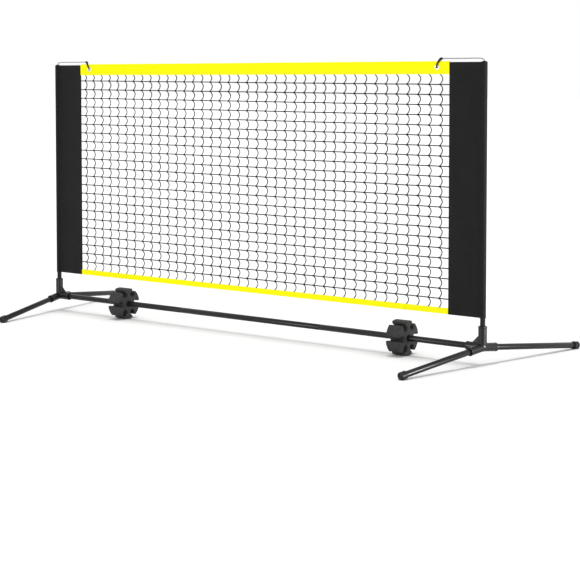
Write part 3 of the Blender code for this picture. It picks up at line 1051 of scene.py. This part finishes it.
def twineMesh(name, lines, radius, sideFaces):
    curve = bpy.data.curves.new(name, "CURVE")
    curve.dimensions = "3D"
    curve.bevel_depth = radius
    curve.bevel_resolution = sideFaces
    curve.use_fill_caps = True
    for line in lines:
        spline = curve.splines.new("POLY")
        spline.points.add(len(line) - 1)
        for spot, point in zip(spline.points, line):
            spot.co = (*point, 1)
    work = bpy.data.objects.new(name, curve)
    mesh = bpy.data.meshes.new_from_object(work)
    bpy.data.objects.remove(work)
    bpy.data.curves.remove(curve)
    bm = bmesh.new()
    bm.from_mesh(mesh)
    bpy.data.meshes.remove(mesh)
    bmesh.ops.remove_doubles(bm, verts=bm.verts, dist=1e-6)
    bmesh.ops.recalc_face_normals(bm, faces=bm.faces)
    return bm


level = []
for row in range(netLook["rows"]):
    wander = shuffle.uniform(0, 100)
    reach = clearWidth / 2 + netLook["tuck"]
    count = netLook["columns"] * 3
    line = []
    for k in range(count + 1):
        x = -reach + 2 * reach * k / count
        depth = 0.0003 * noise.noise(Vector((x * 9, wander, 0)))
        drift = 0.0006 * noise.noise(Vector((x * 12, wander, 3)))
        line.append((x, depth, rowHeight(row, x) + drift))
    level.append(line)
keepPiece(
    "twineLevel",
    twineMesh("twineLevel", level, netLook["radius"], 1),
    "twine",
    "net_frame",
    ["net_mesh"]
)

upright = []
for x in columnPlaces:
    heights = [layout["topTapeBottom"] + 0.001]
    heights += [rowHeight(row, x) for row in range(netLook["rows"])]
    heights.append(layout["lowTapeTop"] - 0.001)
    line = [(x, 0, layout["topTapeBottom"] + netLook["tuck"])]
    for top, low in zip(heights, heights[1:]):
        bow = netLook["bow"] * shuffle.uniform(0.9, 1.1) * min(1.0, (top - low) / netLook["fullBow"])
        for k in range(netLook["steps"]):
            share = k / netLook["steps"]
            across = bow * math.sin(math.pi * share) ** 0.9
            line.append((x + across, 0.0007 * math.sin(math.pi * share * 2), top + (low - top) * share))
    line.append((x, 0, heights[-1]))
    line.append((x, 0, heights[-1] - 0.004))
    upright.append(line)
keepPiece(
    "twineUpright",
    twineMesh("twineUpright", upright, netLook["radius"] * 0.9, 1),
    "twine",
    "net_frame",
)

knots = bmesh.new()
knotPlaces = []
for x in columnPlaces:
    for row in range(netLook["rows"]):
        for lean in (38, -38):
            tilt = Matrix.Rotation(math.radians(lean + shuffle.uniform(-9, 9)), 4, "Y")
            size = Matrix.Diagonal((*[s * shuffle.uniform(0.92, 1.08) for s in netLook["knot"]], 1))
            spot = Matrix.Translation((x + 0.0004, 0.0003 if lean > 0 else -0.0003, rowHeight(row, x)))
            knotPlaces.append(spot @ tilt @ size)
stampShape(knots, knotBall, knotPlaces)
keepPiece("twineKnots", knots, "twine", "net_frame")
print("net made")

# ---- grommets, hooks and tension cords
# each hook ring is (toward the post, front to back, height, radius), from the ferrule down to the tip
hookRings = [
    (0.0198, 0, 0.0264, 0.0020),
    (0.0194, 0, 0.0264, 0.0029),
    (0.0168, 0, 0.0264, 0.0036),
    (0.0140, -0.0002, 0.0257, 0.0045)
]
hookRings += [
    (0.0112, -0.0010, 0.0234, 0.0044),
    (0.0086, -0.0022, 0.0204, 0.0037),
    (0.0060, -0.0036, 0.0166, 0.0031),
    (0.0036, -0.0048, 0.0123, 0.0026)
]
hookRings += [
    (0.0016, -0.0055, 0.0080, 0.0023),
    (0.0004, -0.0053, 0.0042, 0.0021),
    (0, -0.0040, 0.0010, 0.0019),
    (0, -0.0014, -0.0008, 0.0018),
    (0, 0.0020, -0.0008, 0.0018)
]
hookRings += [(0, 0.0050, 0.0010, 0.0017), (0, 0.0066, 0.0036, 0.0014), (0, 0.0071, 0.0056, 0.0010)]


def ringTube(rings, steps):
    # rings of (centre, radius) joined into one closed tube
    bm = bmesh.new()
    loops = []
    for k, (centre, radius) in enumerate(rings):
        ahead = rings[min(k + 1, len(rings) - 1)][0] - rings[max(k - 1, 0)][0]
        made = bmesh.ops.create_circle(bm, cap_ends=False, segments=steps, radius=radius)["verts"]
        turn = Vector((0, 0, 1)).rotation_difference(ahead.normalized()).to_matrix().to_4x4()
        bmesh.ops.transform(bm, matrix=Matrix.Translation(centre) @ turn, verts=made)
        loops.append(made)
    for first, second in zip(loops, loops[1:]):
        # start the second loop at its nearest vertex so that the skin doesn't twist
        start = min(range(steps), key=lambda n: (second[n].co - first[0].co).length)
        for k in range(steps):
            other = [second[(start + k) % steps], second[(start + k + 1) % steps]]
            bm.faces.new((first[k], first[(k + 1) % steps], other[1], other[0]))
        second[:] = second[start:] + second[:start]
    bm.faces.new(loops[0])
    bm.faces.new(loops[-1])
    bmesh.ops.recalc_face_normals(bm, faces=bm.faces)
    return bm


ringLook = {
    "hole": 0.0042,
    "barrel": 0.0050,
    "rim": 0.0084,
    "face": 0.0021,
    "tail": 0.0013,
    "dome": 0.0012,
    "washerHole": 0.0053
}
cordLook = {"radius": 0.0015, "height": 0.9250, "stop": 0.1457}
for side, word in sides:
    centre = (side * (layout["halfSpan"] - layout["grommetInset"]), 0, layout["grommetHeight"])
    rings = [(Vector(centre) + Vector((side * x, y, z)), radius) for x, y, z, radius in hookRings]
    keepPiece(
        "hookMoulding_" + word,
        ringTube(rings, 16),
        "hook",
        "net_frame",
        ["cord_hook_" + word],
        sharpAngle=50
    )
    hole, barrel, rim, face = (ringLook[key] for key in ("hole", "barrel", "rim", "face"))
    tail, washerHole = face + ringLook["tail"], ringLook["washerHole"]
    flange = [(-face, barrel), (tail, barrel), (tail, hole)]
    for k in range(13):
        angle = math.pi * k / 12
        flange.append(
            (
                -face - ringLook["dome"] * math.sin(angle),
                (hole + rim) / 2 - (rim - hole) / 2 * math.cos(angle)
            )
        )
    front = spunBody(flange, centre, (0, 1, 0), 48)
    keepPiece(
        "grommetFace_" + word, front, "ring", "net_frame", ["grommet_front_" + word]
    )
    washer = [
        (face, washerHole),
        (face + 0.0007, washerHole),
        (face + 0.0010, washerHole + 0.0005),
        (face + 0.0010, rim - 0.0006),
        (face + 0.0006, rim),
        (face, rim)
    ]
    keepPiece(
        "grommetWasher_" + word,
        spunBody(washer, centre, (0, 1, 0), 48),
        "ring",
        "net_frame",
        ["grommet_back_" + word]
    )
    route = [
        (0.0, 0.9090), (0.0, 0.9130), (0.0, 0.9174), (0.0030, 0.9216), (0.0120, 0.9242), (0.0280, 0.9250)
    ]
    route += [
        (0.0500, 0.9249),
        (0.0750, 0.9248),
        (0.1000, 0.9248),
        (0.1250, 0.9249),
        (cordLook["stop"], cordLook["height"])
    ]
    curve = bpy.data.curves.new("cordLine", "CURVE")
    curve.dimensions = "3D"
    spline = curve.splines.new("BEZIER")
    spline.bezier_points.add(len(route) - 1)
    for spot, (reach, height) in zip(spline.bezier_points, route):
        spot.co = (side * (layout["halfSpan"] - reach), layout["netPlace"], height)
        spot.handle_left_type = spot.handle_right_type = "AUTO"
    curve.resolution_u = 8
    curve.bevel_depth = cordLook["radius"]
    curve.bevel_resolution = 4
    curve.use_fill_caps = True
    curve.materials.append(finishes["cord"])
    cord = bpy.data.objects.new("braidedCord_" + word, curve)
    bpy.context.scene.collection.objects.link(cord)
    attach(cord, "net_frame")
    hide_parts("tension_cord_" + word)
print("grommets and cords made")
